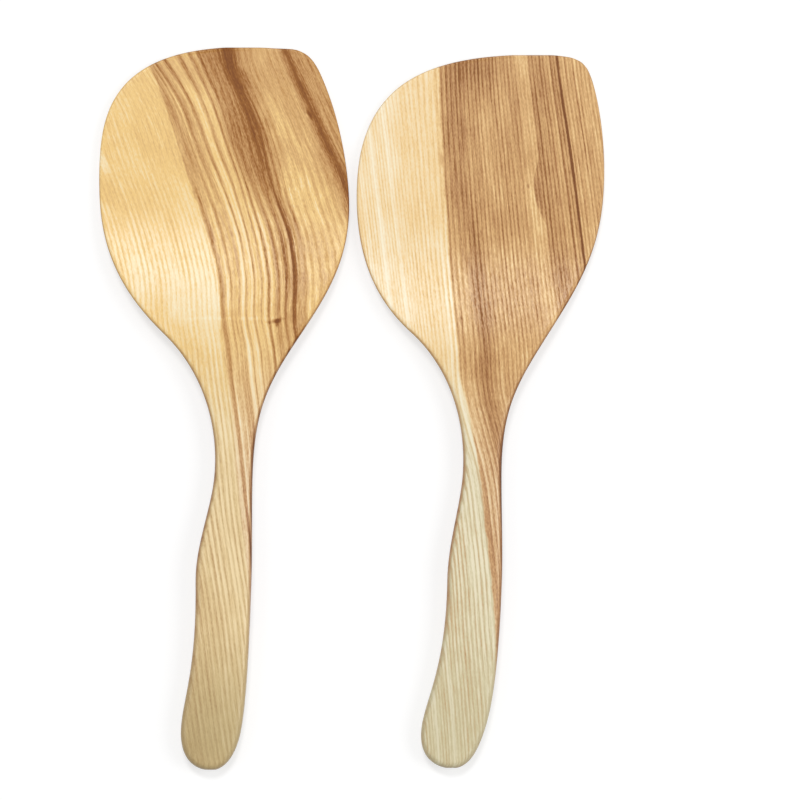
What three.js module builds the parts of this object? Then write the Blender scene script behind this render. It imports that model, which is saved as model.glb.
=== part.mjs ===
// A matched pair of wooden spatulas lying flat, side by side.
// Each one is carved from a single board: a broad, thin blade with one cut corner runs through
// sloping shoulders into a narrow neck and a gently curved grip. Nothing is glued or pinned on.
//
// Millimetres. X runs across the blades, Y from the butt of the grip to the tip of the blade, and
// Z up from the table that the flat backs rest on. The origin is on the table, under the middle.
import * as THREE from "three";

// Places along the length that both outlines share, each measured from the one before.
const heelFromButt = 17;
const gripFromHeel = 61;
const neckFromGrip = 44;
const shoulderFromNeck = 58;
const cheekFromShoulder = 59;

// Thickness of the wood, from the flat back to the top face. Past the neck it stays the same until
// the slope, where the top is scooped down to the blade.
const buttThickness = 9.5;
const gripThickness = 11.5;
const neckThickness = 10.8;
const bladeThickness = 4.8; // at the foot of the slope
const tipThickness = 2.4;

// How far the edges are rounded over.
const gripEdgeRadius = 3.2;
const bladeEdgeRadius = 1.4;
const tipEdgeRadius = 0.9;
const thinnestWall = 0.3; // upright wall that always stays between the two rounded edges
const edgeShare = 0.4; // most of a narrow section's width that one rounded edge may take
const gripCrown = 0.5; // how much the grip swells along its middle

// How the two lie on the table.
const gapBetween = 2.5; // clear space between the blades where they come closest
const buttStagger = 0.9; // the right butt lies this much further up than the left one

// Fineness of the carved surface.
const rowSpacing = 4;
const buttRows = 6;
const tipRows = 9;
const buttZone = 18;
const tipZone = 30;
const endFlat = 0.2; // the last sliver of each end is left flat
const edgeSteps = 4;
const faceSteps = 6;
const curveSteps = 40;

// The two outlines. X is measured from the middle of the neck. A lean is the edge's direction in
// degrees, clockwise from straight up. The flank and the brow are the two ends of the cut corner.
// The slope between neck and blade was carved by eye, so its place and run differ too.
const leftPattern = {
  butt: { x: -9.5 },
  heel: { left: -22, leftLean: 2, right: 3.5, rightLean: 10 },
  grip: { left: -16, leftLean: -1, right: 7.5, rightLean: 2 },
  neck: { left: -8.5, leftLean: 5, right: 8, rightLean: 2 },
  slope: { fromNeck: 46, run: 74 },
  shoulder: { left: -29, leftLean: -46, right: 28, rightLean: 34 },
  cheek: { left: -56, leftLean: -1, right: 48, rightLean: -3 },
  flank: { x: 36.5, fromTip: 12, lean: -23 },
  brow: { x: 24, fromTip: 1, lean: -86 },
  tip: { x: 4.5, fromCheek: 61 },
};

const rightPattern = {
  butt: { x: -12.5 },
  heel: { left: -25.5, leftLean: 7, right: 1.5, rightLean: 18 },
  grip: { left: -15, leftLean: 1, right: 8.5, rightLean: 2 },
  neck: { left: -8.5, leftLean: 4, right: 8.5, rightLean: 1 },
  slope: { fromNeck: 42, run: 58 },
  shoulder: { left: -30, leftLean: -48, right: 28, rightLean: 32 },
  cheek: { left: -52.5, leftLean: 2, right: 50.5, rightLean: 3 },
  flank: { x: 46.5, fromTip: 13.5, lean: -15 },
  brow: { x: 39, fromTip: 2, lean: -66 },
  tip: { x: 22, fromCheek: 57 },
};

const gripPlace = heelFromButt + gripFromHeel;
const neckPlace = gripPlace + neckFromGrip;
const shoulderPlace = neckPlace + shoulderFromNeck;
const cheekPlace = shoulderPlace + cheekFromShoulder;

// One pinned point of an edge: its place, its direction, and how long the curve keeps to that
// direction before and after it, as a share of the straight way to the next pin.
function pin(x, y, lean, before, after) {
  const angle = THREE.MathUtils.degToRad(lean);
  return {
    place: new THREE.Vector2(x, y),
    direction: new THREE.Vector2(Math.sin(angle), Math.cos(angle)),
    before,
    after,
  };
}

// A smooth edge through pinned points, as a list of points from the butt to the tip.
function smoothEdge(pins) {
  const edge = new THREE.CurvePath();
  for (let i = 1; i < pins.length; i++) {
    const from = pins[i - 1];
    const to = pins[i];
    const way = from.place.distanceTo(to.place);
    const leaving = from.place.clone().addScaledVector(from.direction, from.after * way);
    const arriving = to.place.clone().addScaledVector(to.direction, -to.before * way);
    edge.add(new THREE.CubicBezierCurve(from.place, leaving, arriving, to.place));
  }
  return edge.getPoints(curveSteps);
}

function leftEdge({ butt, heel, grip, neck, shoulder, cheek, tip }) {
  return smoothEdge([
    pin(butt.x, 0, -90, 0, 0.25),
    pin(heel.left, heelFromButt, heel.leftLean, 0.65, 0.2),
    pin(grip.left, gripPlace, grip.leftLean, 0.6, 0.35),
    pin(neck.left, neckPlace, neck.leftLean, 0.3, 0.35),
    pin(shoulder.left, shoulderPlace, shoulder.leftLean, 0.35, 0.35),
    pin(cheek.left, cheekPlace, cheek.leftLean, 0.4, 0.37),
    pin(tip.x, cheekPlace + tip.fromCheek, 90, 0.65, 0),
  ]);
}

function rightEdge({ butt, heel, grip, neck, shoulder, cheek, flank, brow, tip }) {
  const tipPlace = cheekPlace + tip.fromCheek;
  return smoothEdge([
    pin(butt.x, 0, 90, 0, 0.35),
    pin(heel.right, heelFromButt, heel.rightLean, 0.4, 0.25),
    pin(grip.right, gripPlace, grip.rightLean, 0.3, 0.3),
    pin(neck.right, neckPlace, neck.rightLean, 0.3, 0.45),
    pin(shoulder.right, shoulderPlace, shoulder.rightLean, 0.4, 0.35),
    pin(cheek.right, cheekPlace, cheek.rightLean, 0.4, 0.4),
    pin(flank.x, tipPlace - flank.fromTip, flank.lean, 0.25, 0.55),
    pin(brow.x, tipPlace - brow.fromTip, brow.lean, 0.3, 0.25),
    pin(tip.x, tipPlace, -90, 0.25, 0),
  ]);
}

// The value at a place along the length, read off a curve whose Y only rises.
function readOff(points, y) {
  let i = 1;
  while (i < points.length - 1 && points[i].y < y) {
    i++;
  }
  const { x: x0, y: y0 } = points[i - 1];
  const { x: x1, y: y1 } = points[i];
  const share = y1 > y0 ? (y - y0) / (y1 - y0) : 0;
  return x0 + (x1 - x0) * THREE.MathUtils.clamp(share, 0, 1);
}

// A size that changes smoothly along the length, from [size, place] pairs.
function alongLength(pairs) {
  const curve = new THREE.SplineCurve(pairs.map(([size, place]) => new THREE.Vector2(size, place)));
  const points = curve.getPoints(curveSteps * pairs.length);
  return (y) => readOff(points, y);
}

// Thickness along the board: the grip and neck run level, ease down the slope, and the blade then
// thins evenly to the tip.
function thicknessLaw({ slope }, length) {
  const handleAt = alongLength([
    [buttThickness, 0],
    [gripThickness, gripPlace],
    [neckThickness, neckPlace],
    [neckThickness, length],
  ]);
  const from = neckPlace + slope.fromNeck;
  const to = from + slope.run;
  return (y) => {
    const blade = THREE.MathUtils.mapLinear(y, to, length, bladeThickness, tipThickness);
    return THREE.MathUtils.lerp(handleAt(y), blade, THREE.MathUtils.smootherstep(y, from, to));
  };
}

// Distance from a place on the board to the nearest point of the outline.
function depthInside(outline, x, y) {
  let nearest = Infinity;
  for (let i = 1; i < outline.length; i++) {
    const a = outline[i - 1];
    const b = outline[i];
    const along = b.clone().sub(a);
    const reach = new THREE.Vector2(x, y).sub(a);
    const share = reach.dot(along) / Math.max(along.lengthSq(), Number.EPSILON);
    reach.addScaledVector(along, -THREE.MathUtils.clamp(share, 0, 1));
    nearest = Math.min(nearest, reach.length());
  }
  return nearest;
}

// Places of the cross-sections: crowded towards the two ends, where the outline turns fast.
function rowPlaces(length) {
  const places = [];
  for (let i = 0; i < buttRows; i++) {
    places.push(endFlat + (buttZone - endFlat) * (i / buttRows) ** 2);
  }
  const middle = length - tipZone - buttZone;
  const steps = Math.ceil(middle / rowSpacing);
  for (let i = 0; i <= steps; i++) {
    places.push(buttZone + (middle * i) / steps);
  }
  for (let i = tipRows - 1; i >= 0; i--) {
    places.push(length - endFlat - (tipZone - endFlat) * (i / tipRows) ** 2);
  }
  return places;
}

// Places across one cross-section: close together where the edges are rounded over.
function acrossPlaces(left, right, radius) {
  const rounded = Math.min(radius, edgeShare * (right - left));
  const offsets = [];
  for (let i = 0; i <= edgeSteps; i++) {
    offsets.push(rounded * (1 - Math.cos((Math.PI / 2) * (i / edgeSteps))));
  }
  const places = offsets.map((offset) => left + offset);
  const face = right - left - 2 * rounded;
  for (let i = 1; i < faceSteps; i++) {
    places.push(left + rounded + (face * i) / faceSteps);
  }
  return places.concat(offsets.reverse().map((offset) => right - offset));
}

// The carved solid: cross-sections from butt to tip, each a flat back, two rounded edges and a
// slightly crowned top, skinned into one closed surface.
function carvedBoard(pattern) {
  const left = leftEdge(pattern);
  const right = rightEdge(pattern);
  const outline = left.concat([...right].reverse());
  const length = cheekPlace + pattern.tip.fromCheek;
  const thicknessAt = thicknessLaw(pattern, length);
  const radiusAt = alongLength([
    [gripEdgeRadius, 0],
    [gripEdgeRadius, neckPlace],
    [bladeEdgeRadius, cheekPlace],
    [tipEdgeRadius, length],
  ]);
  const crownAt = alongLength([
    [gripCrown, 0],
    [gripCrown, neckPlace],
    [0, shoulderPlace],
    [0, length],
  ]);

  const positions = [];
  const rows = rowPlaces(length);
  for (const y of rows) {
    const thickness = thicknessAt(y);
    const crown = crownAt(y);
    const radius = Math.min(radiusAt(y), (thickness - crown - thinnestWall) / 2);
    const from = readOff(left, y);
    const to = readOff(right, y);
    const top = [];
    const back = [];
    for (const x of acrossPlaces(from, to, radius)) {
      const within = Math.max(0, radius - depthInside(outline, x, y));
      const lost = radius - Math.sqrt(radius * radius - within * within);
      const across = (2 * x - from - to) / (to - from);
      top.push([x, y, thickness - lost - crown * across * across]);
      back.push([x, y, lost]);
    }
    positions.push(...top, ...back.reverse());
  }

  const ring = positions.length / rows.length;
  const index = [];
  for (let row = 1; row < rows.length; row++) {
    for (let i = 0; i < ring; i++) {
      const a = (row - 1) * ring + i;
      const b = (row - 1) * ring + ((i + 1) % ring);
      index.push(a, b, b + ring, a, b + ring, a + ring);
    }
  }
  const last = (rows.length - 1) * ring;
  for (let i = 0; i < ring / 2 - 1; i++) {
    const j = ring - 1 - i; // the point of the back straight under point i of the top
    index.push(i, j, i + 1, j, j - 1, i + 1);
    index.push(last + i, last + i + 1, last + j, last + j, last + i + 1, last + j - 1);
  }

  const geometry = new THREE.BufferGeometry();
  geometry.setAttribute("position", new THREE.Float32BufferAttribute(positions.flat(), 3));
  geometry.setIndex(index);
  geometry.computeVertexNormals();
  return geometry;
}

// Oiled ash: pale sapwood with brown heartwood streaks, here as its average colour.
function oiledAsh(colour) {
  return new THREE.MeshStandardMaterial({ color: colour, roughness: 0.5, metalness: 0 });
}

function spatula(name, pattern, colour) {
  const mesh = new THREE.Mesh(carvedBoard(pattern), oiledAsh(colour));
  mesh.name = name;
  mesh.geometry.computeBoundingBox();
  return mesh;
}

const leftSpatula = spatula("left_spatula", leftPattern, "#dab784");
const rightSpatula = spatula("right_spatula", rightPattern, "#d4b489");

// The right spatula lies beside the left one, blade by blade.
const leftBox = leftSpatula.geometry.boundingBox;
const rightBox = rightSpatula.geometry.boundingBox;
rightSpatula.position.set(leftBox.max.x + gapBetween - rightBox.min.x, buttStagger, 0);

const pair = new THREE.Group();
pair.add(leftSpatula, rightSpatula);
const middle = new THREE.Box3().setFromObject(pair).getCenter(new THREE.Vector3());
for (const mesh of [leftSpatula, rightSpatula]) {
  mesh.position.x -= middle.x;
  mesh.position.y -= middle.y;
}

export default pair;
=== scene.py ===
# Two oiled ash spatulas lying on a white table, seen straight from above.
import bpy
import numpy as np
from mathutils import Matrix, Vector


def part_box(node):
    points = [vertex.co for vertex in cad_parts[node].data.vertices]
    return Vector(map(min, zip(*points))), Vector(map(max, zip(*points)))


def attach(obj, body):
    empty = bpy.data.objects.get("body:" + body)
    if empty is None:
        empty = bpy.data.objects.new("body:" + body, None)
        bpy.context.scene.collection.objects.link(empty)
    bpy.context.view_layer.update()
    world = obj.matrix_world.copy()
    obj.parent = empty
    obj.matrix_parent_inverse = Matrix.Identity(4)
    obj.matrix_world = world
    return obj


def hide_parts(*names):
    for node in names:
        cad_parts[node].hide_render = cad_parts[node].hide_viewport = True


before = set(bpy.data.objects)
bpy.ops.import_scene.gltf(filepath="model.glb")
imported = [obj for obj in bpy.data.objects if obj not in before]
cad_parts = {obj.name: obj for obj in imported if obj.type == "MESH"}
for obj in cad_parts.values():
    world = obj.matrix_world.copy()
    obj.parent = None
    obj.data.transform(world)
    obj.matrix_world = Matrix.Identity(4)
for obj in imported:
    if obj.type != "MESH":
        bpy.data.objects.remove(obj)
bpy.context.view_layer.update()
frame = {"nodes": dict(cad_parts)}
mm = 0.001  # the frame is in metres, the settings below are in millimetres
print("frame loaded:", ", ".join(frame["nodes"]))


def linear(hexColour):
    # sRGB hex to the linear red, green, blue and alpha that sockets take
    part = np.array([int(hexColour[i:i + 2], 16) for i in (1, 3, 5)]) / 255
    part = np.where(part <= 0.04045, part / 12.92, ((part + 0.055) / 1.055) ** 2.4)
    return (*part.tolist(), 1.0)


def add(tree, kind, sets=None, ins=None):
    # one shader node: its settings, then a value or a link for each named or numbered input
    made = tree.nodes.new("ShaderNode" + kind)
    for key, value in (sets or {}).items():
        setattr(made, key, value)
    for key, value in (ins or {}).items():
        if isinstance(value, bpy.types.NodeSocket):
            tree.links.new(value, made.inputs[key])
        else:
            made.inputs[key].default_value = value
    return made


def fillRamp(ramp, stops):
    # colour stops of a ramp node, given as (place, colour)
    while len(ramp.elements) > 1:
        ramp.elements.remove(ramp.elements[-1])
    for i, (place, colour) in enumerate(stops):
        stop = ramp.elements[0] if i == 0 else ramp.elements.new(place)
        stop.position = place
        stop.color = colour


# how both boards are carved and meshed, in millimetres
board = {
    "rows": 400, "edgeSteps": 10, "faceSteps": 72,        # mesh fineness
    "curvePoints": 1200, "distanceParts": 24,             # fineness of an edge, and work at a time
    "endCrowding": 0.8,                                   # share of the rows that crowd to the two ends
    "gripEdge": 2.6, "bladeEdge": 0.9, "tipEdge": 0.7,    # rounding of the edges
    "neckPlace": 122, "shoulderPlace": 180, "cheekPlace": 239,
    "crown": 0.5,                                         # swell of the grip along its middle
    "edgeShare": 0.4,                                     # most of a narrow row that one edge takes
    "endMargin": 5,                                       # rows nearer an end don't show the full height
    "handWave": 0.06,                                     # how far sanding left the top from flat
    "waveAcross": 9.1, "waveAlong": 17.3,                 # size of that unevenness
    "slowAcross": 23, "slowAlong": 31,                    # size of the bends that keep it irregular
    "bendAcross": 1.3, "bendAlong": 0.8,                  # and how far they reach
    "ringTilt": 0.6,                                      # how far the rings lean through the thickness
    "ringReach": 100, "ringStep": 0.1,                    # rings are counted this far, in these steps
}


def smoothThrough(place, value, fine):
    # cubic pieces through the points, with the slope at each point taken from its two neighbours
    slope = np.gradient(value, place)
    i = np.clip(np.searchsorted(place, fine) - 1, 0, len(place) - 2)
    gap = place[i + 1] - place[i]
    t = (fine - place[i]) / gap
    ends = (2 * t**3 - 3 * t**2 + 1) * value[i] + (3 * t**2 - 2 * t**3) * value[i + 1]
    return ends + gap * ((t**3 - 2 * t**2 + t) * slope[i] + (t**3 - t**2) * slope[i + 1])


def alongCurve(points, fine):
    # a given list of (place, value), read smoothly at many places and held level past its ends
    place, value = np.array(points, float).T
    return smoothThrough(place, value, np.clip(fine, place[0], place[-1]))


def cadRows(nodeName):
    # rows of the CAD solid from butt to tip, told apart to a hundredth of a millimetre:
    # place, left, right and top of each
    mesh = frame["nodes"][nodeName].data
    co = np.empty(len(mesh.vertices) * 3, np.float32)
    mesh.vertices.foreach_get("co", co)
    co = co.reshape(-1, 3).astype(float) / mm
    place, row = np.unique(np.round(co[:, 1], 2), return_inverse=True)
    left = np.full(len(place), np.inf)
    right = np.full(len(place), -np.inf)
    top = np.zeros(len(place))
    np.minimum.at(left, row, co[:, 0])
    np.maximum.at(right, row, co[:, 0])
    np.maximum.at(top, row, co[:, 2])
    return place, left, right, top


def smoothEdge(place, near, far, sanded):
    # one edge as a dense curve: the rows' corners in order, led round both ends by two corners of the
    # other edge, by length along it, then moved square to itself by what sanding took off
    x = np.concatenate([far[1::-1], near, far[:-3:-1]])
    y = np.concatenate([place[1::-1], place, place[:-3:-1]])
    length = np.concatenate([[0], np.cumsum(np.hypot(np.diff(x), np.diff(y)))])
    fine = np.linspace(length[2], length[-3], board["curvePoints"])
    x, y = smoothThrough(length, x, fine), smoothThrough(length, y, fine)
    dx, dy = np.gradient(x), np.gradient(y)
    inwards = np.sign((far - near).mean()) * alongCurve(sanded, y - place[0]) / np.hypot(dx, dy)
    return x + inwards * dy, y - inwards * dx


def depthInside(x, y, outline):
    # distance of each point to the nearest stretch of the closed outline
    start, step = outline, np.roll(outline, -1, axis=0) - outline
    square = np.maximum((step**2).sum(1), 1e-12)  # a stretch of no length must not divide by zero
    best = np.full(x.size, np.inf)
    for part in np.array_split(np.arange(x.size), board["distanceParts"]):
        dx = x[part, None] - start[:, 0]
        dy = y[part, None] - start[:, 1]
        share = np.clip((dx * step[:, 0] + dy * step[:, 1]) / square, 0, 1)
        best[part] = np.hypot(dx - share * step[:, 0], dy - share * step[:, 1]).min(1)
    return best


def grainAcross(x, y, look):
    # distance across the growth rings, even between the listed grain lines, which may fan out,
    # and distance past the edge of the heartwood
    spine = alongCurve(look["spine"], y)
    lines = [(ring, spine + alongCurve(offset, y)) for ring, offset in look["grainLines"]]
    across = lines[0][0] + np.minimum(x - lines[0][1], 0)
    for (ring, at), (nextRing, nextAt) in zip(lines[:-1], lines[1:]):
        across += (nextRing - ring) * np.clip((x - at) / (nextAt - at), 0, 1)
    across += np.maximum(x - lines[-1][1], 0)
    return across, x - spine - alongCurve(look["heartEdge"], y)


def ringCount(across, widths):
    # how many growth rings lie before each place, from listed (place, ring width)
    place, width = np.array(widths, float).T
    steps = round(board["ringReach"] / board["ringStep"])
    fine = np.linspace(-board["ringReach"], board["ringReach"], 2 * steps + 1)
    count = np.cumsum(1 / np.interp(fine, place, width)) * (fine[1] - fine[0])
    return np.interp(across, fine, count)


def carveBoard(name, nodeName, look):
    # the board as a grid: rows from butt to tip, each a ring of top points left to right and back
    # points right to left. Near the outline both faces roll over a quarter circle, by the depth inside
    # the outline, and the top waves by a sine across times a sine along, each bent by a slower sine.
    place, left, right, top = cadRows(nodeName)
    leftX, leftY = smoothEdge(place, left, right, look["sandedLeft"])
    rightX, rightY = smoothEdge(place, right, left, look["sandedRight"])
    t = np.linspace(0, 1, board["rows"])
    eased = (1 - np.cos(np.pi * t)) / 2
    along = t + board["endCrowding"] * (eased - t)
    first, last = max(leftY[0], rightY[0]), min(leftY[-1], rightY[-1])
    y = first + (last - first) * along
    outline = np.concatenate([np.c_[leftX, leftY], np.c_[rightX, rightY][::-1]])
    outline = outline[::2]  # every second point is fine enough for distances
    start = np.interp(y, np.maximum.accumulate(leftY), leftX)
    end = np.interp(y, np.maximum.accumulate(rightY), rightX)

    fromButt = y - place[0]
    full = (place > place[0] + board["endMargin"]) & (place < place[-1] - board["endMargin"])
    inner = np.clip(y, place[full][0], place[full][-1])
    height = smoothThrough(place[full], top[full], inner)
    height += (y - inner) * np.where(y > inner, np.diff(top[full])[-1] / np.diff(place[full])[-1], 0)
    length = fromButt[-1]
    radius = np.interp(fromButt, [0, board["neckPlace"], board["cheekPlace"], length],
                       [board["gripEdge"], board["gripEdge"], board["bladeEdge"], board["tipEdge"]])
    crown = board["crown"] * (1 - np.clip((fromButt - board["neckPlace"])
                                          / (board["shoulderPlace"] - board["neckPlace"]), 0, 1))

    roll = np.minimum(radius, board["edgeShare"] * (end - start))[:, None]
    bend = 1 - np.cos(np.linspace(0, np.pi / 2, board["edgeSteps"] + 1))
    face = np.linspace(0, 1, board["faceSteps"] + 1)[1:-1]
    x = np.concatenate([start[:, None] + roll * bend,
                        start[:, None] + roll + (end - start)[:, None] * face - 2 * roll * face,
                        end[:, None] - roll * bend[::-1]], axis=1)
    yy = np.broadcast_to(y[:, None], x.shape)
    depth = depthInside(x.ravel(), yy.ravel(), outline).reshape(x.shape)
    within = np.clip(radius[:, None] - depth, 0, radius[:, None])
    lost = radius[:, None] - np.sqrt(radius[:, None]**2 - within**2)
    side = (2 * x - start[:, None] - end[:, None]) / (end - start)[:, None]
    wave = np.sin(x / board["waveAcross"] + board["bendAcross"] * np.sin(yy / board["slowAlong"]))
    wave = wave * np.sin(yy / board["waveAlong"] + board["bendAlong"] * np.sin(x / board["slowAcross"]))
    wave = board["handWave"] * (wave - 1) * np.clip(depth / radius[:, None] - 1, 0, 1)
    topZ = height[:, None] - lost - crown[:, None] * side**2 + wave
    topSide, back = np.stack([x, yy, topZ], -1), np.stack([x, yy, lost], -1)
    points = np.concatenate([topSide, back[:, ::-1]], axis=1)
    rolled = within / radius[:, None]  # 0 on the faces, 1 at the outline
    rolled = np.concatenate([rolled, rolled[:, ::-1]], axis=1)

    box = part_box(nodeName)
    local = points - np.array([box[0].x, box[0].y, 0]) / mm
    lean = board["ringTilt"] * (height[:, None] - points[..., 2])
    across, heart = grainAcross(local[..., 0], local[..., 1], look)
    grain = np.stack([across + lean, local[..., 1], points[..., 2]], -1)
    years = ringCount(across + lean, look["ringWidths"])

    ring = points.shape[1]
    row, col = np.meshgrid(np.arange(len(y) - 1), np.arange(ring), indexing="ij")
    a, b = row * ring + col, row * ring + (col + 1) % ring
    skin = np.stack([a, b, b + ring, a + ring], -1).reshape(-1, 4)
    i = np.arange(ring // 2 - 1)
    buttEnd = np.stack([i, ring - 1 - i, ring - 2 - i, i + 1], -1)
    tipEnd = np.stack([i, i + 1, ring - 2 - i, ring - 1 - i], -1) + (len(y) - 1) * ring
    quads = np.concatenate([skin, buttEnd, tipEnd])

    mesh = bpy.data.meshes.new(name)
    mesh.from_pydata((points.reshape(-1, 3) * mm).tolist(), [], quads.tolist())
    mesh.polygons.foreach_set("use_smooth", np.ones(len(quads), bool))
    mesh.attributes.new("grain", "FLOAT_VECTOR", "POINT").data.foreach_set("vector", grain.ravel())
    mesh.attributes.new("heart", "FLOAT", "POINT").data.foreach_set("value", (heart + lean).ravel())
    mesh.attributes.new("years", "FLOAT", "POINT").data.foreach_set("value", years.ravel())
    mesh.attributes.new("edge", "FLOAT", "POINT").data.foreach_set("value", rolled.ravel())
    mesh.update()
    piece = bpy.data.objects.new(name, mesh)
    bpy.context.scene.collection.objects.link(piece)
    print(name, "carved:", len(quads), "faces")
    return piece


# oiled ash: ring-porous, so each year's growth starts with a line of open pores that looks darker;
# the sapwood is cream, the heartwood is streaked olive brown, and the oil leaves a satin sheen.
# A pattern is (mm across the grain, mm along it, detail, roughness of the noise), a tone is darkness,
# and the tones of the painted edge shade are for tip, shoulder, neck and butt.
ash = {
    "waver": (20, 45, 1.0), "waverMm": 1.0,            # slow waver of the rings
    "ragged": (3, 7), "raggedMm": 1.6,                 # uneven edge of the heartwood
    "fullHeart": 0.5,                                  # mm past that edge where the heartwood is full
    "drift": (12, 160, 1.0), "driftYears": 0.5,        # rings don't keep quite even widths
    "yearHop": 3.7, "yearLong": 60, "yearTone": 0.6,   # a year's own darkness, which changes along it
    "poreLine": (0.15, 1.0), "poreLineMean": 0.43,     # where in a year its line darkens, and its mean
    "unlike": (3, 60), "unlikeTone": 2.0,              # some lines are clear and others faint
    "streak": (1.3, 140, 2.0, 0.6),
    "fibre": (0.5, 60, 2.0, 0.6), "fibreTone": 0.45,
    "pore": (0.4, 5, 1.0), "poreTone": 0.3,
    "speck": (0.35, 1.2, 0.0), "speckTone": 0.28,      # cut ends of single pores
    "cloud": (9, 26, 3.0, 0.6), "cloudTone": 0.24,
    "paleTones": (0.12, 0.45), "sapStreaks": 0.08, "sapSpecks": 0.4,   # pale wood shows less of them
    "darkTones": (0.55, 0.8), "darkStreaks": 0.45,     # and so does the darkest
    "heartLines": 0.35,                                # year lines in the heartwood of the grip
    "calmLines": 0.85, "calmStreaks": 0.8, "calmClouds": 2.0,          # plainer heartwood is cloudier
    "edgeFade": (0.1, 0.9), "edgeLines": 0.3,          # painted shade where the edge rolls over
    "edgeShadeFrom": 0.4, "edgeShadeTones": (0.05, 0.3, 0.5, 0.12),   # edges soak up more oil
    "spotFade": (0.2, 1.3),                            # core and end of a spot, in shares of its size
    "greyFrom": 70, "greyTo": 10,                      # the grip turns greyer and darker towards the butt
    "roughness": 0.35, "poreRoughness": 0.25,          # satin oil, and duller where pores are open
    "dullLines": (0.0, 0.12), "dullTones": (0.6, 0.8),
    "ior": 1.45, "reliefMm": 0.018, "poreRelief": 0.5,
    "neckTones": [(0, "#fff0d0"), (0.2, "#f4dab0"), (0.35, "#e0bb8b"), (0.5, "#c8996a"),
                  (0.7, "#9f6c40"), (1, "#704426")],   # heartwood on the neck and grip
}


def oiledAsh(name, look):
    mat = bpy.data.materials.new(name)
    mat.use_nodes = True
    tree = mat.node_tree
    tree.nodes.clear()

    def calc(operation, *values):
        return add(tree, "Math", {"operation": operation}, dict(enumerate(values))).outputs[0]

    def noise(vector, detail=2.0, rough=0.5):
        # cloudy noise between about -0.5 and 0.5
        made = add(tree, "TexNoise", ins={"Vector": vector, "Scale": 1.0,
                                          "Detail": detail, "Roughness": rough})
        return calc("SUBTRACT", made.outputs["Fac"], 0.5)

    def stretched(vector, wide, long, detail=2.0, rough=0.5):
        # noise drawn out along the grain
        size = add(tree, "Mapping", ins={"Vector": vector, "Scale": (1 / wide, 1 / long, 1 / wide)})
        return noise(size.outputs[0], detail, rough)

    def eased(value, low, high, bottom=0.0, top=1.0):
        return add(tree, "MapRange", {"interpolation_type": "SMOOTHSTEP"},
                   {"Value": value, "From Min": low, "From Max": high,
                    "To Min": bottom, "To Max": top}).outputs[0]

    def blend(share, a, b):
        return add(tree, "Mix", ins={0: share, 2: a, 3: b}).outputs[0]

    grain = add(tree, "Attribute", {"attribute_name": "grain"}).outputs["Vector"]
    heart = add(tree, "Attribute", {"attribute_name": "heart"}).outputs["Fac"]
    years = add(tree, "Attribute", {"attribute_name": "years"}).outputs["Fac"]
    edge = add(tree, "Attribute", {"attribute_name": "edge"}).outputs["Fac"]
    part = add(tree, "SeparateXYZ", ins={0: grain})
    along = part.outputs["Y"]
    waver = calc("MULTIPLY", stretched(grain, *ash["waver"]), ash["waverMm"])
    across = calc("ADD", part.outputs["X"], waver)
    wavy = add(tree, "CombineXYZ", ins={0: across, 1: along, 2: part.outputs["Z"]}).outputs[0]
    ragged = calc("MULTIPLY_ADD", stretched(grain, *ash["ragged"]), ash["raggedMm"], heart)
    onBlade = eased(along, *look["gripToBlade"])
    gripBlur, bladeBlur = look["edgeBlur"]
    inHeart = eased(calc("ADD", ragged, waver), blend(onBlade, -gripBlur, -bladeBlur), ash["fullHeart"])
    atNeck = eased(along, *look["buttToNeck"])
    atShoulder = eased(along, *look["neckToShoulder"])
    atTip = eased(along, *look["shoulderToTip"])

    def stripeTone(ring, stripes):
        # stripes across the board; red, green and blue carry their darkness at tip, shoulder and grip
        low, high = stripes[0][0], stripes[-1][0]
        place = add(tree, "MapRange", ins={"Value": ring, "From Min": low, "From Max": high}).outputs[0]
        ramp = add(tree, "ValToRGB", ins={0: place})
        fillRamp(ramp.color_ramp, [((at - low) / (high - low), (*tones, 1)) for at, *tones in stripes])
        tones = add(tree, "SeparateColor", ins={0: ramp.outputs[0]}).outputs
        return blend(atTip, blend(atShoulder, tones[2], tones[1]), tones[0])

    def nearBy(at, up, wide, tall):
        # 1 around a place on the board, falling to 0 just outside its ellipse
        offset = add(tree, "VectorMath", {"operation": "SUBTRACT"}, {0: wavy, 1: (at, up, 0)})
        size = add(tree, "VectorMath", {"operation": "MULTIPLY"},
                   {0: offset.outputs[0], 1: (1 / wide, 1 / tall, 0)})
        away = add(tree, "VectorMath", {"operation": "LENGTH"}, {0: size.outputs[0]}).outputs["Value"]
        return eased(away, *ash["spotFade"], 1.0, 0.0)

    ring = across
    for at, up, wide, tall, swerve in look["swerves"]:  # places where the stripes step aside
        ring = calc("MULTIPLY_ADD", nearBy(at, up, wide, tall), swerve, ring)
    tone = stripeTone(ring, look["nearStripes"])
    for stripes in (look["midStripes"], look["farStripes"]):
        tone = blend(calc("GREATER_THAN", ring, stripes[0][0]), tone, stripeTone(ring, stripes))
    tone = blend(inHeart, stripeTone(ring, look["sapStripes"]), tone)

    # years: each one has its own darkness and starts with a pore line
    year = calc("MULTIPLY_ADD", stretched(grain, *ash["drift"]), ash["driftYears"], years)
    count = calc("FLOOR", year)
    own = add(tree, "CombineXYZ", ins={0: calc("MULTIPLY", count, ash["yearHop"]),
                                       1: calc("DIVIDE", along, ash["yearLong"])}).outputs[0]
    own = noise(own, 1.0)
    season = calc("ABSOLUTE", calc("MULTIPLY_ADD", calc("SUBTRACT", year, count), 2.0, -1.0))
    poreLine = eased(season, *ash["poreLine"])
    fibre = stretched(wavy, *ash["fibre"])
    pore = stretched(wavy, *ash["pore"])
    cloud = stretched(wavy, *ash["cloud"])
    streak = stretched(wavy, *ash["streak"])

    def byZone(tip, shoulder, neck, butt):
        return blend(atTip, blend(atShoulder, blend(atNeck, butt, neck), shoulder), tip)

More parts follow.
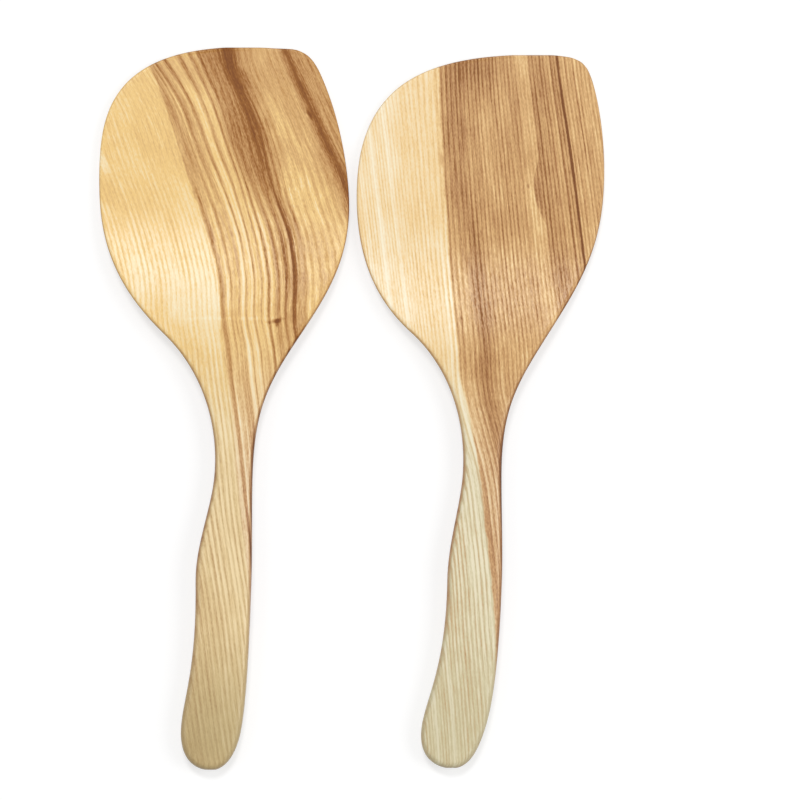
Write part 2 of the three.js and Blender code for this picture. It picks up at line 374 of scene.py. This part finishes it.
    # year lines, fibres and pores, and streaks, each weaker where the wood shows less of it
    unlike = calc("MULTIPLY_ADD", own, ash["unlikeTone"], 1.0)
    unlike = calc("MULTIPLY_ADD", stretched(wavy, *ash["unlike"]), ash["unlikeTone"], unlike)
    ringTone = calc("MULTIPLY", byZone(*look["ringTones"]), unlike)
    onGrip = calc("SUBTRACT", 1.0, atShoulder)
    gripHeart = calc("MULTIPLY", inHeart, onGrip)
    ringTone = calc("MULTIPLY", ringTone, blend(gripHeart, 1.0, ash["heartLines"]))
    lines = calc("MULTIPLY", calc("SUBTRACT", poreLine, ash["poreLineMean"]), ringTone)
    lines = calc("MULTIPLY_ADD", fibre, ash["fibreTone"], lines)
    lines = calc("MULTIPLY_ADD", pore, ash["poreTone"], lines)
    streaks = calc("MULTIPLY_ADD", own, ash["yearTone"], streak)
    streaks = calc("MULTIPLY", streaks, byZone(*look["streakTones"]))
    begin, full, fade, end = look["calm"]
    calm = calc("MULTIPLY", eased(across, begin, full), eased(across, fade, end, 1.0, 0.0))
    lines = calc("MULTIPLY", lines, blend(calm, 1.0, ash["calmLines"]))
    lines = calc("MULTIPLY", lines, eased(edge, *ash["edgeFade"], 1.0, ash["edgeLines"]))
    streaks = calc("MULTIPLY", streaks, blend(calm, 1.0, ash["calmStreaks"]))
    lineShare = calc("MAXIMUM", eased(tone, *ash["paleTones"], look["sapLines"], 1.0), onGrip)
    streakShare = calc("MAXIMUM", eased(tone, *ash["paleTones"], ash["sapStreaks"], 1.0), onGrip)
    streakShare = calc("MULTIPLY", streakShare, eased(tone, *ash["darkTones"], 1.0, ash["darkStreaks"]))
    tone = calc("MULTIPLY_ADD", streaks, streakShare, calc("MULTIPLY_ADD", lines, lineShare, tone))

    # clouds, specks, painted shade on the edges, and spots
    cloud = calc("MULTIPLY", cloud, blend(calm, 1.0, ash["calmClouds"]))
    tone = calc("MULTIPLY_ADD", cloud, ash["cloudTone"], tone)
    speck = stretched(grain, *ash["speck"])
    speck = calc("MULTIPLY", speck, eased(tone, *ash["paleTones"], ash["sapSpecks"], 1.0))
    tone = calc("MULTIPLY_ADD", speck, ash["speckTone"], tone)
    # painted shade: darker where the edge rolls over, most on the shoulder and neck
    edgeShade = calc("MULTIPLY", eased(edge, ash["edgeShadeFrom"], 1.0), byZone(*ash["edgeShadeTones"]))
    tone = calc("ADD", tone, edgeShade)
    for at, up, wide, tall, darkness in look["spots"]:  # pin knots, smudges and pale flecks
        tone = calc("MULTIPLY_ADD", nearBy(at, up, wide, tall), darkness, tone)

    def palette(tones):
        ramp = add(tree, "ValToRGB", ins={0: tone})
        fillRamp(ramp.color_ramp, [(place, linear(colour)) for place, colour in tones])
        return ramp.outputs[0]

    def tint(share, a, b):
        return add(tree, "Mix", {"data_type": "RGBA"}, {0: share, 6: a, 7: b}).outputs[2]

    share, grey = look["buttGrey"]
    colour = tint(inHeart, palette(look["gripTones"]), palette(ash["neckTones"]))
    colour = tint(onBlade, colour, palette(look["bladeTones"]))
    # greyer and darker towards the butt
    colour = tint(eased(along, ash["greyTo"], ash["greyFrom"], share, 0.0), colour, linear(grey))

    relief = calc("MULTIPLY_ADD", pore, -ash["poreRelief"], calc("MULTIPLY", poreLine, -1.0))
    bump = add(tree, "Bump", ins={"Strength": 1.0, "Distance": ash["reliefMm"] * mm, "Height": relief})
    dull = calc("MAXIMUM", eased(lines, *ash["dullLines"]), eased(tone, *ash["dullTones"]))
    oiled = blend(inHeart, look["sapRoughness"], ash["roughness"])
    rough = calc("MULTIPLY_ADD", dull, ash["poreRoughness"], oiled)
    shader = add(tree, "BsdfPrincipled", ins={"Base Color": colour, "Roughness": rough,
                                              "IOR": ash["ior"], "Normal": bump.outputs[0]})
    add(tree, "OutputMaterial", ins={"Surface": shader.outputs[0]})
    return mat


# left board: golden sapwood on its left, then striped heartwood round one dark band.
# Up and across are millimetres from the butt and the left side of the spatula's box, and a ring is
# millimetres past the spine, across the growth rings.
# sanded: (up, taken off), tones: (darkness, colour), ringWidths: (ring, width)
# spine and heartEdge: (up, across), grainLines: (ring, (up, across from the spine))
# stripes: (ring, darkness at tip, shoulder and grip), spots: (ring, up, wide, tall, darkness)
# swerves: (ring, up, wide, tall, step), calm: rings where plainer heartwood begins, is full, fades, ends
# ringTones and streakTones: at tip, shoulder, neck and butt, edgeBlur: on grip and blade
leftSpatula = {
    "node": "left_spatula", "body": "left_spatula", "slot": "left_wood",
    "sandedLeft": [(0, 0.4), (70, 0.45), (105, 0.65), (145, 0.8), (215, 0.8), (250, 0.45), (282, -0.2),
                   (299, 0.3)],
    "sandedRight": [(0, 0.3), (66, 0), (145, 0.1), (178, 0.4), (215, 0.1), (255, 0.2), (280, 0.05),
                    (299, 0.3)],
    "bladeTones": [(0, "#fff2d0"), (0.2, "#f6cf85"), (0.35, "#dfb271"), (0.5, "#cd9c5d"),
                   (0.65, "#b88142"), (0.8, "#995e1a"), (1, "#7f4400")],
    "gripTones": [(0, "#fbe4b6"), (0.2, "#e6ca95"), (0.35, "#d3b280"), (0.5, "#c19866"),
                  (0.7, "#a2734a"), (1, "#704828")],
    "ringWidths": [(-60, 2.1), (34, 2.1), (40, 2.8), (75, 2.8)],
    "ringTones": (0.1, 0.22, 0.26, 0.18), "streakTones": (0.42, 0.48, 0.3, 0.14),
    "buttGrey": (0.48, "#aa9c6f"),                        # share and colour of the greying at the butt
    "edgeBlur": (1.0, 0.5), "calm": (35.5, 37.5, 56, 58),
    "sapRoughness": 0.28, "sapLines": 0.32,
    "spine": [(-10, 77), (20, 72.5), (70, 66.5), (106, 61), (140, 57.4), (170, 53.5), (205, 51),
              (220, 47), (240, 39), (260, 33), (276, 28), (303, 17)],
    "heartEdge": [(80, -1.7), (100, -1.3), (125, -1.2), (165, -0.7), (190, -2), (220, -1), (240, 0.5),
                  (257, 0), (300, 0)],
    "grainLines": [
        (0, [(160, 0), (174, 0), (188, -1.5), (205, -1), (220, -0.5), (238, 1), (257, 0), (272, -0.5),
             (283, -2), (296, -4.5)]),
        (9, [(160, 9), (174, 9), (188, 7), (204, 8.5), (222, 10.5), (236, 11.5), (257, 9.5), (280, 7.5),
             (290, 5), (298, 2.5)]),
        (19, [(160, 17), (174, 17), (188, 15), (205, 16.5), (222, 18), (243, 21), (257, 20), (275, 19.5),
              (298, 18)]),
        (25, [(160, 23), (174, 23), (188, 22), (210, 24), (235, 26), (257, 26), (298, 27)]),
        (33, [(160, 30), (175, 30), (190, 29), (205, 31), (222, 33.3), (235, 34.2), (248, 35.4),
              (265, 35.8), (283, 34.3), (290, 34.3), (300, 36.8)]),
        (60, [(0, 62), (230, 64), (245, 65), (262, 62), (286, 59.5), (300, 59)])],
    # the sapwood's shoulder column is paler than its tip, partly its own colour and partly painted sheen
    "sapStripes": [
        (-60, 0.2, 0.16, 0.36), (-30, 0.21, 0.16, 0.32), (-22, 0.215, 0.16, 0.24),
        (-12, 0.215, 0.14, 0.17), (-0.5, 0.22, 0.125, 0.14)],
    "nearStripes": [
        (0, 0.56, 0.4, 0.26), (0.5, 0.42, 0.42, 0.44), (0.9, 0.34, 0.55, 0.6), (1.5, 0.46, 0.55, 0.6),
        (1.9, 0.56, 0.36, 0.3), (2.4, 0.53, 0.28, 0.12), (3, 0.58, 0.14, 0.22), (3.7, 0.58, 0.24, 0.46),
        (4.2, 0.43, 0.44, 0.42), (4.6, 0.34, 0.42, 0.25), (5, 0.4, 0.3, 0.16), (5.5, 0.5, 0.3, 0.38),
        (6, 0.4, 0.4, 0.5), (6.3, 0.37, 0.36, 0.42), (6.8, 0.46, 0.2, 0.3), (7.3, 0.56, 0.24, 0.5),
        (7.8, 0.61, 0.5, 0.52), (8.2, 0.58, 0.48, 0.28), (8.7, 0.43, 0.18, 0.15), (9.4, 0.3, 0.08, 0.15),
        (10.3, 0.38, 0.13, 0.26), (10.9, 0.53, 0.26, 0.4), (11.4, 0.57, 0.38, 0.44),
        (11.9, 0.46, 0.42, 0.26), (12.3, 0.32, 0.28, 0.2), (12.8, 0.2, 0.14, 0.2),
        (14.3, 0.18, 0.11, 0.2), (14.8, 0.28, 0.14, 0.28), (15.2, 0.36, 0.34, 0.34)],
    "midStripes": [
        (15.2, 0.36, 0.34, 0.34), (15.6, 0.5, 0.42, 0.36), (16.1, 0.52, 0.42, 0.3),
        (16.6, 0.36, 0.22, 0.3), (17.7, 0.23, 0.2, 0.3), (18.2, 0.24, 0.22, 0.3),
        (18.6, 0.46, 0.34, 0.4), (18.9, 0.66, 0.52, 0.4), (19.3, 0.66, 0.48, 0.4),
        (19.7, 0.38, 0.2, 0.3), (20.3, 0.34, 0.16, 0.3), (20.8, 0.48, 0.22, 0.3),
        (21.2, 0.62, 0.34, 0.4), (21.7, 0.64, 0.58, 0.4), (22.2, 0.6, 0.58, 0.4), (22.7, 0.6, 0.22, 0.3),
        (23.8, 0.65, 0.22, 0.3), (24.3, 0.74, 0.4, 0.4), (24.8, 0.74, 0.72, 0.4), (25.2, 0.7, 0.7, 0.4),
        (25.8, 0.64, 0.44, 0.4), (26.9, 0.67, 0.4, 0.4),
        (28.2, 0.69, 0.36, 0.4), (28.6, 0.71, 0.84, 0.4),
        (29.3, 0.78, 0.86, 0.4), (29.8, 0.8, 0.4, 0.4), (30.4, 0.83, 0.38, 0.4), (31.4, 0.84, 0.6, 0.4),
        (32.4, 0.76, 0.88, 0.4), (33.5, 0.72, 0.88, 0.4), (34, 0.68, 0.46, 0.4)],
    "farStripes": [
        (34, 0.68, 0.46, 0.4), (34.8, 0.58, 0.46, 0.4), (35.2, 0.54, 0.5, 0.4), (35.9, 0.52, 0.6, 0.4),
        (36.4, 0.48, 0.58, 0.4), (36.9, 0.44, 0.4, 0.4), (38, 0.37, 0.3, 0.4), (45, 0.38, 0.28, 0.4),
        (53, 0.37, 0.3, 0.4), (56.2, 0.53, 0.42, 0.4), (57, 0.7, 0.58, 0.4), (58, 0.82, 0.72, 0.4),
        (59.4, 0.85, 0.8, 0.4), (60.4, 0.85, 0.68, 0.4), (61.4, 0.62, 0.5, 0.4), (75, 0.52, 0.48, 0.4)],
    "swerves": [],
    "spots": [
        (24.6, 186, 1.9, 1, 0.55), (26.8, 186.9, 2.2, 0.7, 0.22), (22.3, 185.4, 2, 0.7, 0.2),
        (24.4, 184.8, 0.8, 1.5, 0.35), (8, 187, 24, 0.9, -0.05),            # pin knot and its pale line
        (57.2, 271.5, 1, 2.2, 0.25), (55.9, 271, 0.7, 1.2, -0.25),          # eye in the right stripe
        (37.5, 268, 1.2, 3.5, 0.1), (39, 298, 9, 20, 0.18), (31, 296, 4.5, 26, 0.1),
        (36.4, 287, 2, 4.5, 0.16), (35.6, 279, 1.8, 6, 0.1), (33.1, 247, 1.1, 11, -0.2),
        (38.5, 243, 5, 13, -0.1), (14, 292, 5, 12, 0.1), (6, 291, 4, 10, 0.1),
        (51, 292, 4, 12, 0.08), (52.5, 261, 1.5, 9, -0.1),                  # smoke round the dark band
        (-16, 200, 24, 17, -0.035), (-16, 231, 26, 13, 0.045), (-33.5, 252, 1.8, 6, -0.12),
        (-36, 240, 6, 7, 0.05)],                                            # clouds in the sapwood; the wide pale spot at 200 is painted sheen, the wide one at 231 painted shade
    "gripToBlade": (115, 195), "buttToNeck": (25, 115),
    "neckToShoulder": (130, 205), "shoulderToTip": (222, 258),
}

# right board: cream sapwood on its left, and a straight edge to brown heartwood
rightSpatula = {
    "node": "right_spatula", "body": "right_spatula", "slot": "right_wood",
    "sandedLeft": [(0, 0.2), (66, 0.4), (142, 0.35), (178, 0.65), (215, 0.75), (250, 0.35), (280, 0.75),
                   (295, 0.35)],
    "sandedRight": [(0, 0.3), (66, 0.5), (105, 0.55), (142, 0.8), (178, 0.65), (215, 0.4), (260, 0.3),
                    (295, 0.35)],
    "bladeTones": [(0, "#fff2d4"), (0.2, "#f5d295"), (0.35, "#dfb277"), (0.5, "#cc9d64"),
                   (0.65, "#b6824f"), (0.8, "#966029"), (1, "#784210")],
    "gripTones": [(0, "#f2e8ca"), (0.15, "#dccfa6"), (0.27, "#d2bc93"), (0.38, "#d0ae82"),
                  (0.5, "#c3976a"), (0.7, "#a2724a"), (1, "#704628")],
    "ringWidths": [(-60, 1.15), (-18, 1.2), (-9, 1.6), (-5, 2), (3, 2), (12, 1.6), (75, 1.5)],
    "ringTones": (0.2, 0.22, 0.28, 0.19), "streakTones": (0.34, 0.35, 0.3, 0.12),
    "buttGrey": (0.35, "#c4ba92"),
    "edgeBlur": (0.3, 1.0), "calm": (30, 32, 37, 39),
    "sapRoughness": 0.38, "sapLines": 0.42,
    "spine": [(-10, 66), (4, 65), (56, 60), (79, 58), (103, 55), (115, 53.5), (126, 51.4), (138, 48.3),
              (153, 44.5), (177, 42.5), (202, 40), (231, 38), (256, 36.5), (291, 35), (303, 35)],
    "heartEdge": [(50, -1.8), (80, -1.6), (105, -1.6), (122, -1), (138, 0.3), (152, 1.1), (165, 0.2),
                  (185, -0.2), (220, 0), (300, 0)],
    "grainLines": [
        (-20, [(0, -24), (60, -22.5), (130, -20), (187, -20), (233, -22), (267, -24), (300, -27)]),
        (0, [(0, 0), (300, 0)]),
        (52, [(0, 57), (210, 56.5), (228, 55.5), (262, 53), (300, 49)])],
    "sapStripes": [
        (-60, 0.15, 0.14, 0.17), (-33, 0.15, 0.14, 0.17), (-32, 0.08, 0.05, 0.14),
        (-31.2, 0.15, 0.13, 0.17), (-28, 0.15, 0.13, 0.17), (-27, 0.03, 0.0, 0.0),
        (-26, 0.03, 0.0, 0.0), (-25.4, 0.13, 0.12, 0.17), (-20.8, 0.12, 0.13, 0.17),
        (-20.3, 0.04, 0.02, 0.0), (-20, 0.04, 0.02, 0.0), (-19.4, 0.12, 0.14, 0.17),
        (-12, 0.15, 0.16, 0.175), (-6, 0.16, 0.18, 0.105), (-4, 0.17, 0.17, 0.1),
        # near-white lines by the heartwood edge: pale wood, with painted sheen on the shoulder and grip
        (-3.2, 0.15, 0.04, 0.02), (-2.4, 0.17, 0.2, 0.14), (-1.8, 0.18, 0.2, 0.14),
        (-1.2, 0.2, 0.04, 0.04), (-0.5, 0.22, 0.1, 0.06)],
    "nearStripes": [
        (0, 0.5, 0.42, 0.5), (0.4, 0.51, 0.42, 0.5), (0.9, 0.52, 0.37, 0.36), (1.6, 0.55, 0.42, 0.38),
        (2, 0.56, 0.44, 0.5), (2.4, 0.58, 0.37, 0.38), (2.8, 0.62, 0.34, 0.22), (3.4, 0.67, 0.4, 0.36),
        (3.9, 0.63, 0.36, 0.46), (4.3, 0.62, 0.36, 0.43),
        (4.8, 0.62, 0.42, 0.32), (5.3, 0.64, 0.47, 0.4),
        (5.8, 0.64, 0.44, 0.5), (6.4, 0.68, 0.45, 0.48), (6.8, 0.65, 0.52, 0.44), (7.3, 0.62, 0.6, 0.6),
        (7.8, 0.62, 0.58, 0.66), (8.3, 0.62, 0.52, 0.46), (8.8, 0.63, 0.66, 0.62), (9.3, 0.6, 0.7, 0.58),
        (9.8, 0.56, 0.6, 0.62), (10.4, 0.55, 0.7, 0.5), (11, 0.54, 0.56, 0.62), (11.6, 0.55, 0.62, 0.5),
        (14, 0.53, 0.46, 0.46), (17, 0.48, 0.44, 0.44)],
    "midStripes": [
        (17, 0.48, 0.44, 0.44), (21, 0.48, 0.46, 0.44), (25, 0.49, 0.46, 0.44), (29, 0.52, 0.47, 0.44),
        (31, 0.51, 0.49, 0.5), (32.2, 0.47, 0.46, 0.5), (33, 0.36, 0.4, 0.5),
        (37.6, 0.34, 0.38, 0.5), (38.1, 0.6, 0.5, 0.5),
        (40, 0.62, 0.58, 0.5), (43, 0.6, 0.56, 0.5), (45, 0.58, 0.53, 0.5)],
    "farStripes": [
        (45, 0.58, 0.53, 0.5), (46, 0.46, 0.42, 0.5), (47, 0.46, 0.4, 0.5), (47.6, 0.68, 0.64, 0.5),
        (48.3, 0.68, 0.64, 0.5), (48.8, 0.54, 0.48, 0.5),
        (49.5, 0.54, 0.46, 0.5), (50.2, 0.66, 0.6, 0.5),
        (50.6, 0.9, 0.84, 0.5), (51.3, 0.94, 0.86, 0.5), (51.7, 0.48, 0.48, 0.5), (52.2, 0.4, 0.4, 0.5),
        (53.5, 0.4, 0.38, 0.5), (54.2, 0.5, 0.48, 0.5), (55, 0.44, 0.42, 0.5), (56.6, 0.42, 0.42, 0.5),
        (57, 0.53, 0.5, 0.5), (57.5, 0.4, 0.42, 0.5), (58.6, 0.42, 0.44, 0.5), (59, 0.53, 0.52, 0.5),
        (59.5, 0.42, 0.44, 0.5), (63, 0.4, 0.44, 0.5), (75, 0.44, 0.46, 0.5)],
    "swerves": [(36.5, 238.5, 6, 12, 3.3)],                                 # notch in the tan stripe
    "spots": [
        (36.5, 239, 2.5, 6, 0.06), (32.5, 241, 0.6, 1.2, 0.25),             # its shade and fleck
        (-0.8, 252, 0.9, 3, 0.14),                                          # bump in the heartwood edge
        (16, 296, 12, 22, 0.18), (24, 226, 14, 11, 0.07), (7, 168, 8, 9, 0.1),
        (23, 168, 4, 10, -0.08), (-14, 232, 20, 12, 0.05)],                 # clouds; the wide sapwood one at 232 is painted shade
    "gripToBlade": (110, 185), "buttToNeck": (25, 115),
    "neckToShoulder": (120, 180), "shoulderToTip": (205, 240),
}

for name, look in (("left_ash_spatula", leftSpatula), ("right_ash_spatula", rightSpatula)):
    piece = carveBoard(name, look["node"], look)
    piece.data.materials.append(oiledAsh("oiled ash, " + look["body"], look))
    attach(piece, look["body"])
    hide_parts(look["node"])
print("boards finished in oiled ash")


# white laminate table that runs past the view; its glow, for the eye and for mirrored views alone,
# brings it to white and leaves the shadow; sizes in metres
table = {"size": 30.0, "drop": 0.00005, "colour": "#b4b4b4", "glow": 0.62}


def makeTable():
    half = table["size"] / 2
    mesh = bpy.data.meshes.new("table")
    corners = np.array([(-half, -half), (half, -half), (half, half), (-half, half)])
    mesh.from_pydata(np.c_[corners, np.full(4, -table["drop"])].tolist(), [], [(0, 1, 2, 3)])
    mat = bpy.data.materials.new("white laminate")
    mat.use_nodes = True
    tree = mat.node_tree
    tree.nodes.clear()
    rays = add(tree, "LightPath").outputs
    seen = add(tree, "Math", {"operation": "MAXIMUM"},
               {0: rays["Is Camera Ray"], 1: rays["Is Glossy Ray"]})
    matt = add(tree, "BsdfDiffuse", ins={"Color": linear(table["colour"])})
    glow = add(tree, "Emission", ins={"Strength": table["glow"]})
    lit = add(tree, "AddShader", ins={0: matt.outputs[0], 1: glow.outputs[0]})
    mix = add(tree, "MixShader", ins={0: seen.outputs[0], 1: matt.outputs[0], 2: lit.outputs[0]})
    add(tree, "OutputMaterial", ins={"Surface": mix.outputs[0]})
    mesh.materials.append(mat)
    floor = bpy.data.objects.new("table", mesh)
    bpy.context.scene.collection.objects.link(floor)


makeTable()

# a soft box past the tips that the slopes mirror, a large one at each side, and light from the room;
# places and sizes in metres
lights = {
    "tipBox": {"at": (-0.24, 1.42, 3.0), "size": 0.72, "watts": 41},
    "leftBox": {"at": (-1.2, 0.0, 1.1), "size": 1.0, "watts": 4.3},
    "rightBox": {"at": (1.2, 0.0, 1.1), "size": 1.0, "watts": 10.0},
    "room": 0.285,
}


def makeLights():
    for name in ("tipBox", "leftBox", "rightBox"):
        spec = lights[name]
        lamp = bpy.data.lights.new(name, "AREA")
        lamp.size = spec["size"]
        lamp.energy = spec["watts"]
        box = bpy.data.objects.new(name, lamp)
        box.location = spec["at"]
        box.rotation_euler = (-box.location).to_track_quat("-Z", "Y").to_euler()
        box.visible_camera = False
        bpy.context.scene.collection.objects.link(box)
    world = bpy.data.worlds.new("white room")
    bpy.context.scene.world = world
    world.use_nodes = True
    tree = world.node_tree
    tree.nodes.clear()
    rays = add(tree, "LightPath").outputs
    light = add(tree, "Background", ins={"Strength": lights["room"], "Color": linear("#ffffff")})
    white = add(tree, "Background", ins={"Strength": 1.0, "Color": linear("#ffffff")})
    mix = add(tree, "MixShader", ins={0: rays["Is Camera Ray"], 1: light.outputs[0],
                                      2: white.outputs[0]})
    add(tree, "OutputWorld", ins={"Surface": mix.outputs[0]})


makeLights()

# straight down, from far enough away that the sides hardly show; millimetres, with the frame's width
# as it falls on the table
view = {"across": 20.1, "along": 3.5, "height": 3000, "frameWidth": 331.6, "sensor": 36}


def makeCamera():
    lens = bpy.data.cameras.new("over the table")
    lens.sensor_width = view["sensor"]
    lens.lens = view["sensor"] * view["height"] / view["frameWidth"]
    camera = bpy.data.objects.new("over the table", lens)
    camera.location = (view["across"] * mm, view["along"] * mm, view["height"] * mm)
    bpy.context.scene.collection.objects.link(camera)
    bpy.context.scene.camera = camera
    bpy.context.scene.view_settings.view_transform = "Standard"


makeCamera()
print("table, lights and camera set")
